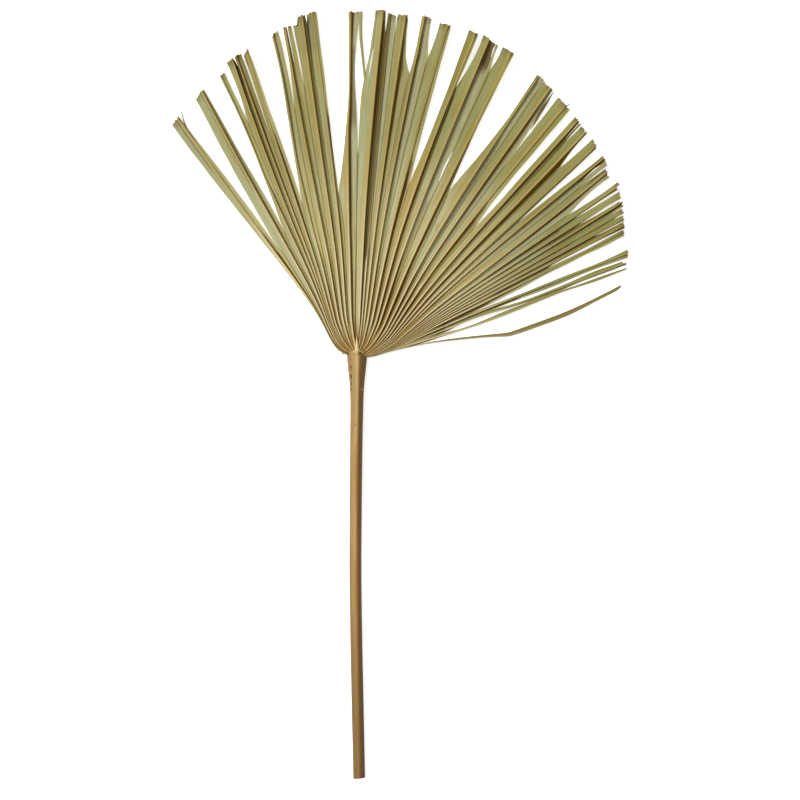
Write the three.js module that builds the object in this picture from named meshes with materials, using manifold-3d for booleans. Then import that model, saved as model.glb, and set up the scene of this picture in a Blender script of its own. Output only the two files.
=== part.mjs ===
// A dried fan palm leaf lying flat with its underside up: a long tan leaf stalk and a pleated green blade.
// Millimetres. +Y runs along the stalk towards the blade, +X to the right, +Z up from the surface it lies on.
import * as THREE from 'three';
import Module from 'manifold-3d';

// The stalk, measured from the pole, the point that the ribs of the blade spread from
const STALK_LENGTH = 548;
const STALK_HALF_WIDTH = 7.5;
const STALK_HEIGHT = 10;
const HEAD_RADIUS = 12.9;
const HEAD_HEIGHT = 11.5;
const HEAD_CLEARANCE = 1.5;
const END_SLANT = 0.1;
const TONGUE_LENGTH = 25;
const TONGUE_HALF_WIDTH = 4.5;
const TONGUE_UNDERSIDE = 10.5;

// The blade
const ROOT_RADIUS = 13.3;
const ROOT_TOP = 7.6;
const ROOT_THICKNESS = 2.6;
const BLADE_THICKNESS = 0.85;
const EDGE_HEIGHT = 1.7;
const PLEAT_DEPTH = 9;
const PLEAT_RATIO = 0.62;
const STEEPEST_FALL = 1.7;
const RIB_WIDTH = 2.2;
const HIGHEST_LIFT = 12;
const ROWS = 17;
const ROW_SPACING_POWER = 1.6;

// The spread of the ribs: below the inner radius they keep one bearing, near the pole they flare sideways,
// and up to about the sweep radius those between the axis and the margins sweep out by so many degrees
const INNER_RADIUS = 170;
const FAN_AXIS = 88;
const FLARE_RADIUS = 32;
const LEFT_LIMIT = 120;
const RIGHT_LIMIT = 79;
const RIGHT_DROOP = 22;
const DROOP_RADIUS = 20;
const LEFT_OUTER = 41.5;
const RIGHT_OUTER = 77;
const SWEEP = 9;
const SWEEP_RADIUS = 90;
const OUTER_MARGIN = 1.6;
const USUAL_OPENING = 2.2;

// The tips were trimmed round one circle
const TRIM_CENTRE = new THREE.Vector2(28.6, 126.1);
const TRIM_RADIUS = 318.7;

// The flat spot under the root of the blade
const SPOT_OUTER_RADIUS = 27;
const SPOT_HALF_ANGLE = 38;
const SPOT_HEIGHT = 5.6;

// One row for each segment from left to right: bearing of its rib near the pole, bearings of the left and
// right corners of its tip, how far the tip reaches from the pole, the share of the tip's width left of the
// rib, then the bearing of the valley on its right and the radius where that valley splits open.
// A last number says how quickly the split opens, where it isn't the usual.
const SEGMENTS = [
  [127.8, 128.6, 126.6, 387, 0.7, 125.5, 174, 1.2],
  [121.8, 122.0, 119.8, 398, 0.78, 119.3, 191, 2.6],
  [117.6, 116.0, 115.0, 407, 0.22, 114.8, 338],
  [115.3, 113.8, 112.35, 417, 0.78, 112.25, 403],
  [113.5, 112.2, 110.9, 420, 0.25, 111.2, 312],
  [111.2, 110.6, 109.4, 423, 0.7, 109.0, 213, 1.9],
  [108.2, 104.8, 103.5, 434, 0.22, 103.9, 335],
  [104.1, 102.7, 101.2, 438, 0.3, 100.9, 361, 3],
  [100.1, 100.8, 98.6, 446, 0.78, 98.5, 436],
  [97.0, 98.4, 96.6, 450, 0.6, 96.1, 213, 3],
  [93.1, 91.4, 89.9, 447, 0.22, 89.7, 267, 1.4],
  [86.9, 87.0, 85.2, 450, 0.75, 85.0, 423],
  [84.6, 84.8, 83.4, 447, 0.22, 83.3, 426],
  [82.2, 83.2, 81.5, 447, 0.78, 79.5, 373, 3],
  [79.3, 79.1, 77.5, 450, 0.22, 76.7, 399],
  [75.4, 76.1, 74.1, 445, 0.78, 73.4, 234, 2.6],
  [71.4, 71.1, 69.4, 446, 0.78, 69.9, 371],
  [67.7, 68.5, 65.6, 446, 0.4, 65.1, 411],
  [62.4, 64.7, 62.6, 442, 0.78, 61.3, 247, 2.5],
  [57.6, 57.4, 55.9, 433, 0.22, 55.85, 423],
  [54.0, 55.8, 53.8, 430, 0.78, 52.4, 319],
  [50.4, 52.2, 49.2, 424, 0.65, 48.0, 228, 6],
  [46.3, 47.7, 46.0, 419, 0.47, 45.9, 390],
  [43.3, 45.7, 44.1, 416, 0.78, 43.0, 360],
  [40.3, 42.7, 41.0, 415, 0.78, 40.0, 274, 1.4],
  [38.3, 39.3, 37.35, 410, 0.25, 37.2, 371],
  [34.4, 37.1, 35.4, 403, 0.4, 33.9, 332],
  [32.2, 33.7, 32.6, 406, 0.6, 32.45, 334],
  [30.6, 32.2, 30.9, 400, 0.7, 30.7, 335],
  [29.0, 30.5, 29.3, 397, 0.3, 29.25, 377],
  [27.6, 29.2, 28.2, 394, 0.7, 28.1, 377],
  [26.3, 28.0, 27.0, 390, 0.75, 26.85, 345],
  [25.0, 26.7, 25.7, 386, 0.6, 25.1, 273],
  [23.5, 25.4, 24.3, 382, 0.3, 21.5, 159, 1.6],
  [20.6, 21.6, 20.0, 377, 0.5, 19.4, 185],
  [18.0, 19.7, 18.6, 371, 0.5, 16.0, 110],
  [14.6, 18.3, 17.5, 368, 0.5, 12.3, 81, 1],
  [11.2, 15.2, 14.4, 354, 0.5, 10.4, 354],
].map(([rib, tipLeft, tipRight, reach, ribShare, valley, split, opening = USUAL_OPENING]) => (
  { rib, tipLeft, tipRight, reach, ribShare, valley, split, opening }
));

// The last segment, a stray narrow leaflet, is kinked sideways part of the way out
const KINK_BEARING = -4.6;
const KINK_RADIUS = 198;

// Segments whose tips touch the surface, counted from the left
const RESTING = [0, 1, 34, 35];

const { lerp, clamp, smoothstep, degToRad } = THREE.MathUtils;

// A repeatable number from 0 to 1 for each segment
function chance(index) {
  const wave = Math.sin(index * 12.9898 + 4.1414) * 43758.5453;
  return wave - Math.floor(wave);
}

function trimReach(bearing) {
  const angle = degToRad(bearing);
  const along = TRIM_CENTRE.x * Math.cos(angle) + TRIM_CENTRE.y * Math.sin(angle);
  return along + Math.sqrt(along ** 2 - TRIM_CENTRE.lengthSq() + TRIM_RADIUS ** 2);
}

// How far the trimmed tip of a segment reaches at one bearing
function tipReach(segment, bearing) {
  const middle = (segment.tipLeft + segment.tipRight) / 2;
  return segment.reach + trimReach(bearing) - trimReach(middle);
}

// How far the stray leaflet turns aside, in degrees
function kink(index, radius) {
  if (index < SEGMENTS.length - 1) return 0;
  const { split } = SEGMENTS[index - 1];
  const { reach } = SEGMENTS[index];
  const rise = (radius - split) / (KINK_RADIUS - split);
  const fall = (reach - radius) / (reach - KINK_RADIUS);
  return KINK_BEARING * clamp(Math.min(rise, fall), 0, 1);
}

// The point of the plan on one segment, at a bearing and a distance from the pole
function fanPoint(index, bearing, radius) {
  const lean = bearing - FAN_AXIS;
  const flare = 1 + 2 / (1 + (radius / FLARE_RADIUS) ** 3);
  const limit = lean > 0 ? LEFT_LIMIT : RIGHT_LIMIT + RIGHT_DROOP / (1 + (radius / DROOP_RADIUS) ** 3);
  const spread = limit * (1 - (1 - Math.abs(lean) / limit) ** flare);
  const share = clamp(Math.abs(lean) / (lean > 0 ? LEFT_OUTER : RIGHT_OUTER), 0, 1);
  const sweep = SWEEP / (1 + (radius / SWEEP_RADIUS) ** 3.2) * smoothstep(radius, 10, 55);
  const turn = spread + sweep * 4 * share * (1 - share);
  const angle = degToRad(FAN_AXIS + Math.sign(lean) * turn + kink(index, radius));
  return new THREE.Vector2(radius * Math.cos(angle), radius * Math.sin(angle));
}

// The bearing of the valley between a segment and the next one on its right, up to its split
function valleyBearing(index, radius) {
  const segment = SEGMENTS[index];
  const middle = (segment.rib + SEGMENTS[index + 1].rib) / 2;
  if (segment.split <= INNER_RADIUS) return segment.valley;
  return lerp(middle, segment.valley, clamp((radius - INNER_RADIUS) / (segment.split - INNER_RADIUS), 0, 1));
}

// The radius where the left or the right edge of a segment comes free
function freeFrom(index, side) {
  if (side < 0) return index > 0 ? SEGMENTS[index - 1].split : INNER_RADIUS;
  return index < SEGMENTS.length - 1 ? SEGMENTS[index].split : SEGMENTS[index - 1].split;
}

// How far an edge has moved from its valley to its tip
function opened(index, side, out) {
  if (side < 0 && index === 0) return out ** 2;
  if (side > 0 && index === SEGMENTS.length - 1) return out;
  const { opening } = SEGMENTS[side < 0 ? index - 1 : index];
  return 1 - (1 - out) ** opening;
}

function edgeBearing(index, side, radius) {
  const segment = SEGMENTS[index];
  const free = freeFrom(index, side);
  let start = segment.rib - side * OUTER_MARGIN / (side < 0 ? 1 : 2);
  if (side < 0 && index > 0) start = valleyBearing(index - 1, radius);
  if (side > 0 && index < SEGMENTS.length - 1) start = valleyBearing(index, radius);
  const tip = side < 0 ? segment.tipLeft : segment.tipRight;
  const out = clamp((radius - free) / (segment.reach - free), 0, 1);
  return lerp(start, tip, opened(index, side, out));
}

function ribBearing(index, radius) {
  const segment = SEGMENTS[index];
  const tip = lerp(segment.tipLeft, segment.tipRight, segment.ribShare);
  const out = clamp((radius - INNER_RADIUS) / (segment.reach - INNER_RADIUS), 0, 1);
  const left = edgeBearing(index, -1, radius);
  const right = edgeBearing(index, 1, radius);
  const share = (lerp(segment.rib, tip, out) - left) / (right - left);
  return lerp(left, right, clamp(share, 0.24, 0.76));
}

const rowShare = (row) => (row / ROWS) ** ROW_SPACING_POWER;

// The height of the valleys: they slope from the root down to the surface at the tips
const valleyHeight = (share) => EDGE_HEIGHT + (ROOT_TOP - EDGE_HEIGHT) * (1 - share) ** 1.3;

// Free edges rise a little from the surface, each segment by its own amount
function liftOf(index, side, radius) {
  const most = RESTING.includes(index) ? 0 : 2 + (HIGHEST_LIFT - 2) * chance(index);
  const free = freeFrom(index, side);
  const out = clamp((radius - free) / (SEGMENTS[index].reach - free), 0, 1);
  return most * out ** 1.4;
}

// The row at which the right-hand valley of a segment splits open
const SPLIT_ROWS = SEGMENTS.map((segment) => {
  const share = (segment.split - ROOT_RADIUS) / (segment.reach - ROOT_RADIUS);
  return Math.min(ROWS - 1, Math.round(ROWS * share ** (1 / ROW_SPACING_POWER)));
});

// One vertex of an edge or a valley of the blade, on its upper face
function edgeVertex(index, side, row) {
  const neighbour = index + side;
  const valley = side < 0 ? index - 1 : index;
  const inside = neighbour >= 0 && neighbour < SEGMENTS.length;
  const shared = inside && row <= SPLIT_ROWS[valley];
  const segment = SEGMENTS[index];
  const atSplit = inside && row === SPLIT_ROWS[valley];
  const reach = shared
    ? (segment.reach + SEGMENTS[neighbour].reach) / 2
    : tipReach(segment, side < 0 ? segment.tipLeft : segment.tipRight);
  const radius = atSplit ? SEGMENTS[valley].split : lerp(ROOT_RADIUS, reach, rowShare(row));
  const bearing = shared ? valleyBearing(valley, radius) : edgeBearing(index, side, radius);
  const plan = fanPoint(index, bearing, radius);
  const height = valleyHeight(rowShare(row)) + (shared ? 0 : liftOf(index, side, radius));
  return { plan, height, key: shared ? `valley ${valley} ${row}` : `edge ${index} ${side} ${row}` };
}

// The cross-section of one segment at one row: left edge, two sides of the rib's crest, right edge
function section(index, row) {
  const left = edgeVertex(index, -1, row);
  const right = edgeVertex(index, 1, row);
  const segment = SEGMENTS[index];
  const middle = lerp(segment.tipLeft, segment.tipRight, segment.ribShare);
  const radius = lerp(ROOT_RADIUS, tipReach(segment, middle), rowShare(row));
  const rib = fanPoint(index, ribBearing(index, radius), radius);
  const width = left.plan.distanceTo(right.plan);
  const depth = PLEAT_DEPTH * Math.tanh(PLEAT_RATIO * width / PLEAT_DEPTH);
  const crest = (left.height + right.height) / 2 + depth;
  const across = right.plan.clone().sub(left.plan).normalize();
  const half = Math.min(RIB_WIDTH, 0.3 * width) / 2;
  const crestLeft = rib.clone().addScaledVector(across, -half);
  const crestRight = rib.clone().addScaledVector(across, half);
  const flank = (edge, corner) => {
    const run = edge.plan.distanceTo(corner);
    const free = edge.key.startsWith('edge');
    const height = free ? Math.max(edge.height, crest - STEEPEST_FALL * run) : edge.height;
    const slope = (crest - height) / Math.max(run, 0.05);
    return { height, thickness: BLADE_THICKNESS * Math.min(Math.hypot(1, slope), 2.4) };
  };
  const leftFlank = flank(left, crestLeft);
  const rightFlank = flank(right, crestRight);
  const name = (part) => `${part} ${index} ${row}`;
  return [
    { plan: left.plan, height: leftFlank.height, thickness: leftFlank.thickness, key: left.key },
    { plan: crestLeft, height: crest, thickness: leftFlank.thickness, key: name('crest left') },
    { plan: crestRight, height: crest, thickness: rightFlank.thickness, key: name('crest right') },
    { plan: right.plan, height: rightFlank.height, thickness: rightFlank.thickness, key: right.key },
  ].map((vertex) => {
    const collar = ROOT_THICKNESS * Math.exp(-(radius - ROOT_RADIUS) / 14);
    return { ...vertex, thickness: Math.max(vertex.thickness, collar) };
  });
}

// A closed shell from sections that share their valley vertices, with both faces split alike
function bladeGeometry() {
  const positions = [];
  const indices = [];
  const known = new Map();
  const vertexPair = ({ plan, height, thickness, key }) => {
    if (!known.has(key)) {
      known.set(key, positions.length / 3);
      positions.push(plan.x, plan.y, height, plan.x, plan.y, height - thickness);
    }
    const top = known.get(key);
    return { top, bottom: top + 1 };
  };
  const quad = (a, b, c, d) => indices.push(a, b, c, a, c, d);
  const wall = (from, to) => quad(from.top, from.bottom, to.bottom, to.top);
  SEGMENTS.forEach((segment, index) => {
    const grid = [];
    for (let row = 0; row <= ROWS; row += 1) grid.push(section(index, row).map(vertexPair));
    for (let row = 0; row < ROWS; row += 1) {
      for (let column = 0; column < 3; column += 1) {
        const [a, b] = [grid[row][column], grid[row][column + 1]];
        const [c, d] = [grid[row + 1][column + 1], grid[row + 1][column]];
        quad(a.top, b.top, c.top, d.top);
        quad(a.bottom, d.bottom, c.bottom, b.bottom);
      }
      const leftOpen = index === 0 || row >= SPLIT_ROWS[index - 1];
      const rightOpen = index === SEGMENTS.length - 1 || row >= SPLIT_ROWS[index];
      if (leftOpen) wall(grid[row + 1][0], grid[row][0]);
      if (rightOpen) wall(grid[row][3], grid[row + 1][3]);
    }
    for (let column = 0; column < 3; column += 1) {
      wall(grid[0][column], grid[0][column + 1]);
      wall(grid[ROWS][column + 1], grid[ROWS][column]);
    }
  });
  const geometry = new THREE.BufferGeometry();
  geometry.setAttribute('position', new THREE.Float32BufferAttribute(positions, 3));
  geometry.setIndex(indices);
  return geometry;
}

// The small flat spot that the root of the blade rests on
function spotGeometry() {
  const from = degToRad(FAN_AXIS - SPOT_HALF_ANGLE);
  const to = degToRad(FAN_AXIS + SPOT_HALF_ANGLE);
  const outline = new THREE.Shape();
  outline.absarc(0, 0, SPOT_OUTER_RADIUS, from, to, false);
  outline.absarc(0, 0, ROOT_RADIUS + 0.2, to, from, true);
  outline.closePath();
  return new THREE.ExtrudeGeometry(outline, { depth: SPOT_HEIGHT, bevelEnabled: false, curveSegments: 8 });
}

// Half of the stalk's section, from its flat side round to the ridge: shares of half width and height
const HALF_SECTION = [[0.8, 0], [1, 0.2], [0.95, 0.48], [0.74, 0.76], [0.4, 0.93]];

// Where the middle of the stalk runs, as sideways offsets at distances below the pole
const STALK_LINE = new THREE.SplineCurve([
  new THREE.Vector2(0, 0),
  new THREE.Vector2(-1.3, -110),
  new THREE.Vector2(-2.5, -265),
  new THREE.Vector2(-1.3, -375),
  new THREE.Vector2(2.4, -STALK_LENGTH),
]);

function stalkSection(along) {
  const below = Math.max(0, -along);
  const flare = Math.exp(-((below / 27) ** 1.7));
  const neck = 1 + 0.12 * Math.exp(-below / 120);
  const straight = lerp(STALK_HALF_WIDTH * neck, HEAD_RADIUS, flare);
  const halfWidth = along > 0 ? Math.sqrt(HEAD_RADIUS ** 2 - along ** 2) : straight;
  const raised = smoothstep(along, -260, -30);
  const bottom = HEAD_CLEARANCE * raised;
  const height = lerp(STALK_HEIGHT, HEAD_HEIGHT, raised) * (along > 0 ? 1 - 0.012 * along : 1);
  const middle = along > 0 ? 0 : STALK_LINE.getPoint(below / STALK_LENGTH).x;
  const slant = END_SLANT * smoothstep(below, STALK_LENGTH - 40, STALK_LENGTH);
  const left = HALF_SECTION.map(([across, up]) => [-across, up]).reverse();
  return [...HALF_SECTION, [0, 1], ...left].map(([across, up]) => new THREE.Vector3(
    middle + across * halfWidth,
    along + slant * across * halfWidth,
    bottom + up * height,
  ));
}

// A closed body through rings with the same number of points
function loft(rings) {
  const size = rings[0].length;
  const positions = rings.flat().flatMap((point) => point.toArray());
  const indices = [];
  for (let ring = 0; ring + 1 < rings.length; ring += 1) {
    for (let point = 0; point < size; point += 1) {
      const next = (point + 1) % size;
      const [a, b] = [ring * size + point, ring * size + next];
      indices.push(a, b + size, b, a, a + size, b + size);
    }
  }
  const last = (rings.length - 1) * size;
  for (let point = 1; point + 1 < size; point += 1) {
    indices.push(0, point, point + 1, last, last + point + 1, last + point);
  }
  const geometry = new THREE.BufferGeometry();
  geometry.setAttribute('position', new THREE.Float32BufferAttribute(positions, 3));
  geometry.setIndex(indices);
  return geometry;
}

function stalkGeometry() {
  const stations = [-STALK_LENGTH, -STALK_LENGTH + 2, -500, -440, -375, -320, -265, -210, -160, -115, -85];
  stations.push(-62, -48, -37, -28, -20, -13, -6, 0, 3, 6, 8.5, 10.5, 11.9, 12.7);
  const rings = stations.map(stalkSection);
  const corner = rings[0];
  const centre = new THREE.Vector3(corner[5].x, corner[5].y, STALK_HEIGHT / 2);
  rings[0] = corner.map((point) => centre.clone().lerp(point, 0.9));
  return loft(rings);
}

// The pointed tongue of the stalk's ridge that runs out over the root of the blade
function tongueGeometry() {
  const stations = [2, 8, 14, 20, TONGUE_LENGTH];
  return loft(stations.map((along) => {
    const out = (along - stations[0]) / (TONGUE_LENGTH - stations[0]);
    const half = lerp(TONGUE_HALF_WIDTH, 0.5, out ** 0.8);
    const top = lerp(HEAD_CLEARANCE + HEAD_HEIGHT + 0.3, TONGUE_UNDERSIDE + 0.9, out);
    const shape = [[0.9, 0], [1, 0.3], [0.5, 0.85], [0, 1], [-0.5, 0.85], [-1, 0.3], [-0.9, 0]];
    return shape.map(([across, up]) => (
      new THREE.Vector3(across * half, along, lerp(TONGUE_UNDERSIDE, top, up))
    ));
  }));
}

const wasm = await Module();
wasm.setup();

function solid(geometry) {
  const plain = geometry.index ? geometry.toNonIndexed() : geometry;
  const points = plain.getAttribute('position').array;
  const mesh = new wasm.Mesh({
    numProp: 3,
    vertProperties: new Float32Array(points),
    triVerts: Uint32Array.from({ length: points.length / 3 }, (unused, corner) => corner),
  });
  mesh.merge();
  return new wasm.Manifold(mesh);
}

function joined(first, second) {
  const mesh = solid(first).add(solid(second)).getMesh();
  const geometry = new THREE.BufferGeometry();
  geometry.setAttribute('position', new THREE.BufferAttribute(mesh.vertProperties, 3));
  geometry.setIndex(new THREE.BufferAttribute(mesh.triVerts, 1));
  geometry.computeVertexNormals();
  return geometry;
}

const stalk = new THREE.Mesh(
  joined(stalkGeometry(), tongueGeometry()),
  new THREE.MeshStandardMaterial({ name: 'tan_stalk', color: 0xb3925f, roughness: 0.6 }),
);
stalk.name = 'petiole';

const blade = new THREE.Mesh(
  joined(bladeGeometry(), spotGeometry()),
  new THREE.MeshStandardMaterial({ name: 'dry_green_blade', color: 0xa39a68, roughness: 0.65 }),
);
blade.name = 'leaf_blade';

// The part's origin lies under the middle of the whole leaf, on the surface
const leaf = new THREE.Group();
leaf.add(stalk, blade);
const bounds = new THREE.Box3().setFromObject(leaf);
const middle = bounds.getCenter(new THREE.Vector3());
leaf.children.forEach((mesh) => mesh.geometry.translate(-middle.x, -middle.y, -bounds.min.z));

export default leaf;
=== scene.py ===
# A dried fan palm leaf seen from above: a pleated blade of split segments on a long tan stalk.
import math

import bpy
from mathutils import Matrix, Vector


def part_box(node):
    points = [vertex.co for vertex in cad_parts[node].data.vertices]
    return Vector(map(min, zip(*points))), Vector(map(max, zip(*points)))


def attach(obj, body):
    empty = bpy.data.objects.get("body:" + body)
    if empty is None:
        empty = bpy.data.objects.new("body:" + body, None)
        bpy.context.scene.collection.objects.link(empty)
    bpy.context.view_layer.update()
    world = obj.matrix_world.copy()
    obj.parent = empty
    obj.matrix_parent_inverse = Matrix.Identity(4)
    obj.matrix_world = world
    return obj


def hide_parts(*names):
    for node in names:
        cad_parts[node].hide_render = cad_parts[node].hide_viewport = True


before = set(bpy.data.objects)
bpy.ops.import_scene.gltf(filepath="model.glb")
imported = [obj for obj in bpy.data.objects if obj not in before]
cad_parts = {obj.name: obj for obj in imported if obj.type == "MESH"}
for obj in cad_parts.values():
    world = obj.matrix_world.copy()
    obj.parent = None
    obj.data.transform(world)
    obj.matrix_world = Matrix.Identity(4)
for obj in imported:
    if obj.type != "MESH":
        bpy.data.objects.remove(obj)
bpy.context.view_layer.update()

# Lengths are in millimetres and bearings in degrees, both from the pole, where the ribs spread from.
MM = 0.001
TONGUE_LENGTH = 25
stalk_low, stalk_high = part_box("petiole")
POLE = Vector(((stalk_low.x + stalk_high.x) / 2, stalk_high.y - TONGUE_LENGTH * MM, 0))

# The blade
ROOT_RADIUS = 13.3
ROOT_TOP = 7.6
ROOT_THICKNESS = 2.4
BLADE_THICKNESS = 0.55
EDGE_HEIGHT = 1.5
PLEAT_DEPTH = 9
PLEAT_RATIO = 0.62
STEEPEST_FALL = 1.7
RIB_WIDTH = 1.5
RIB_BULGE = 0.55
RIB_LIMITS = (0.18, 0.82)
RIB_FOLD = 0.08
ROOT_FALL = 1.3
LOWEST_LIFT = 2
HIGHEST_LIFT = 12
LIFT_POWER = 1.4
LEFT_RISE = 1.12
KNEE_LEVEL = 0.22
KNEE_LIMITS = (0.07, 0.9)
FLAT_FACE = (0, 0.15)
CREASE_DEPTH = 0.045
CREASE_WIDTH = 0.3
COLLAR_RADIUS = 14
THICKEST = 2.6
WAVE_HEIGHT = 0.3
WAVE_TWIST = 0.12
WAVE_START = (60, 160)
EDGE_WANDER = 0.07
WANDER_START = 60
CRUMPLE = 1.6
CHIP_DEPTH = 2.4
STRAND_SHIFT = 13.7
ROWS = 64
ROW_SPACING_POWER = 1.5
STRIP_ROWS = 14
STRIP_STEPS = 4
STRIP_ARCH = 0.15
STRIP_LEVEL = 0.8
FACE_STEPS = 7
FLAT_STEPS = 4
RIB_STEPS = 4
COLUMNS = 2 * FACE_STEPS + RIB_STEPS
CREASES = (0, FACE_STEPS, FACE_STEPS + RIB_STEPS, COLUMNS - FLAT_STEPS)

# The roots of the pleats on the head of the stalk
ROOT_SHEET_RADIUS = 25
ROOT_SHEET_THICKNESS = 0.6
ROOT_COVER = (-0.4, 0.3)
COVER_LENGTH = 4
SINK_DEPTH = 0.9
SINK_LENGTH = 2.4
CLIMB = (17.5, 12.4)
LEFT_ENDS = (6.2, 12.4)
RIGHT_ENDS = (5.8, 9.2)
ROOT_ROWS = 16
ROOT_STEPS = 6

# The spread of the ribs: below the inner radius they keep one bearing, near the pole they flare sideways
INNER_RADIUS = 170
FAN_AXIS = 88
FLARE_GAIN = 2
FLARE_RADIUS = 32
LEFT_LIMIT = 120
RIGHT_LIMIT = 79
RIGHT_DROOP = 22
DROOP_RADIUS = 23
LEFT_OUTER = 41.5
RIGHT_OUTER = 77
SWEEP = 9
SWEEP_RADIUS = 90
SWEEP_POWER = 3.2
SWEEP_START = (10, 55)
OUTER_MARGIN = 1.6
TRIM_CENTRE = (28.6, 126.1)
TRIM_RADIUS = 318.7
KINK_BEARING = -4.6
KINK_RADIUS = 198
RESTING = (0, 1, 34, 35)

# One row for each segment from left to right: bearing of its rib near the pole, bearings of the corners
# of its tip, reach of the tip, share of the tip left of the rib, bearing of the valley on its right, and
# radius where that valley splits open.
SEGMENTS = [
    (127.8, 128.6, 126.6, 387, 0.84, 125.5, 174),
    (121.8, 122, 119.8, 398, 0.78, 119.3, 191),
    (117.6, 116, 115, 407, 0.22, 114.8, 338),
    (115.3, 113.8, 112.35, 417, 0.78, 112.25, 403),
    (113.5, 112.2, 110.9, 420, 0.25, 111.2, 312),
    (111.2, 110.6, 109.4, 423, 0.7, 109, 213),
    (108.2, 104.8, 103.5, 434, 0.22, 103.9, 335),
    (104.1, 102.7, 101.2, 438, 0.3, 100.9, 361),
    (100.1, 100.8, 98.6, 446, 0.78, 98.5, 436),
    (97, 98.4, 96.6, 450, 0.6, 96.1, 213),
    (93.1, 91.4, 89.9, 447, 0.22, 89.7, 267),
    (86.9, 87, 85.2, 450, 0.75, 85, 423),
    (84.6, 84.8, 83.4, 447, 0.22, 83.3, 426),
    (82.2, 83.2, 81.5, 447, 0.78, 79.5, 373),
    (79.3, 79.1, 77.5, 450, 0.22, 76.7, 399),
    (75.4, 76.1, 74.1, 445, 0.78, 73.4, 234),
    (71.4, 71.1, 69.4, 446, 0.78, 69.9, 371),
    (67.7, 68.5, 65.6, 446, 0.4, 65.1, 411),
    (62.4, 64.7, 62.6, 442, 0.78, 61.3, 247),
    (57.6, 57.4, 55.9, 433, 0.22, 55.85, 423),
    (54, 55.8, 53.8, 430, 0.78, 52.4, 319),
    (50.4, 52.2, 49.2, 424, 0.65, 48, 228),
    (46.3, 47.7, 46, 419, 0.47, 45.9, 390),
    (43.3, 45.7, 44.1, 416, 0.78, 43, 360),
    (40.3, 42.7, 41, 415, 0.78, 40, 274),
    (38.3, 39.3, 37.35, 410, 0.25, 37.2, 371),
    (34.4, 37.1, 35.4, 403, 0.4, 33.9, 332),
    (32.2, 33.7, 32.6, 406, 0.6, 32.45, 334),
    (30.6, 32.2, 30.9, 400, 0.7, 30.7, 335),
    (29, 30.5, 29.3, 397, 0.3, 29.25, 377),
    (27.6, 29.2, 28.2, 394, 0.7, 28.1, 377),
    (26.3, 28, 27, 390, 0.75, 26.85, 345),
    (25, 26.7, 25.7, 386, 0.6, 25.1, 273),
    (23.5, 25.4, 24.3, 382, 0.3, 21.5, 159),
    (20.6, 21.6, 20, 377, 0.5, 19.4, 185),
    (18, 19.7, 18.6, 371, 0.5, 16, 110),
    (14.6, 18.3, 17.5, 368, 0.5, 12.3, 81),
    (11.2, 15.2, 14.4, 354, 0.5, 10.4, 354),
]
RIB, TIP_LEFT, TIP_RIGHT, REACH, RIB_SHARE, VALLEY, SPLIT = range(7)
LAST = len(SEGMENTS) - 1

# How quickly splits open, for those right of some segments and for all others
OPENINGS = {
    0: 1.2, 1: 2.6, 5: 1.9, 7: 3, 9: 3, 10: 1.4, 13: 3, 15: 2.6, 18: 2.5, 21: 6, 24: 1.4, 33: 1.6, 36: 1,
}
USUAL_OPENING = 2.2

# The colours of each segment: how ochre its left face is, how far from the rib its right face is dark with
# painted shade, how grey the rest of its right face is, and how plainly its rib stands out in the outer
# half.
LOOKS = [
    (0.15, 0.4, 0.2, 0.8), (0.1, 0.22, 0.1, 0.7), (0.3, 0.25, 0.1, 0.3), (0.6, 0.45, 0.2, 0.8),
    (0.7, 0.3, 0.3, 0.6), (0.5, 0.4, 0.4, 0.6), (0.3, 0.04, 0.3, 0.1), (0.6, 0.16, 0.2, 0.6),
    (0.6, 0.32, 0.1, 0.8), (0.4, 0.35, 0, 0.4), (0.6, 0.3, 1, 0.8), (0.3, 0.75, 0.2, 0.8),
    (0.4, 0.03, 1, 0), (0.75, 0.3, 0.4, 0.9), (0.7, 0.18, 0.9, 0.9), (0.45, 0.6, 0.3, 0.3),
    (1, 0.6, 0.2, 0.9), (0.4, 0.12, 0.9, 0.7), (0.5, 0.45, 0.2, 0.6), (0.6, 0.18, 0.9, 0.7),
    (0.4, 0.3, 0.8, 0.8), (0.45, 0.35, 0, 0.8), (0.6, 0.4, 0.1, 0.9), (0.45, 0.8, 0.1, 0.9),
    (0.5, 0.15, 0.1, 0.3), (0.6, 0.2, 0.7, 0.7), (0.5, 0.25, 0.9, 0.9), (0.35, 0.5, 0.4, 0.3),
    (0.35, 0.5, 0.3, 0.2), (0.4, 0.4, 0.3, 0.4), (0.35, 0.5, 0.3, 0.2), (0.4, 0.5, 0.1, 0.2),
    (0.4, 0.5, 0.2, 0.3), (0.3, 0.06, 0.2, 0.1), (0.2, 0.05, 0.5, 0.1), (0.3, 0.15, 0.4, 0.3),
    (0.3, 0.2, 0.4, 0.3), (0.9, 0.4, 0, 0.6),
]
INNER_DARK = 0.48
LOW_DARK = 0.92
INNER_RIB = 0.9
RIB_FADE = (110, 250)

# Narrow pleats that flatten into their neighbours towards the pole
QUIET = (4, 25, 27, 29, 31, 33, 35)
QUIET_RADII = (130, 70)
MERGED_RADII = (50, 28)

# Segments whose right face is dark only up to a radius
DARK_UNTIL = {
    0: 190, 2: 240, 5: 300, 9: 310, 15: 250, 16: 345, 18: 300, 19: 330, 21: 245, 28: 310, 30: 300,
}
DARK_FADE = 25

# Slits torn in a face: segment, column, and the radii between which the tear runs
SLITS = [
    (7, 14, 388, 440), (11, 2, 362, 402), (17, 16, 424, 446),
    (17, 17, 249, 294), (22, 14, 388, 420), (25, 14, 374, 398),
]
SLIT_END = 0.12
SLIT_LEAD = 25
OPEN_SLIT = 15
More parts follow.
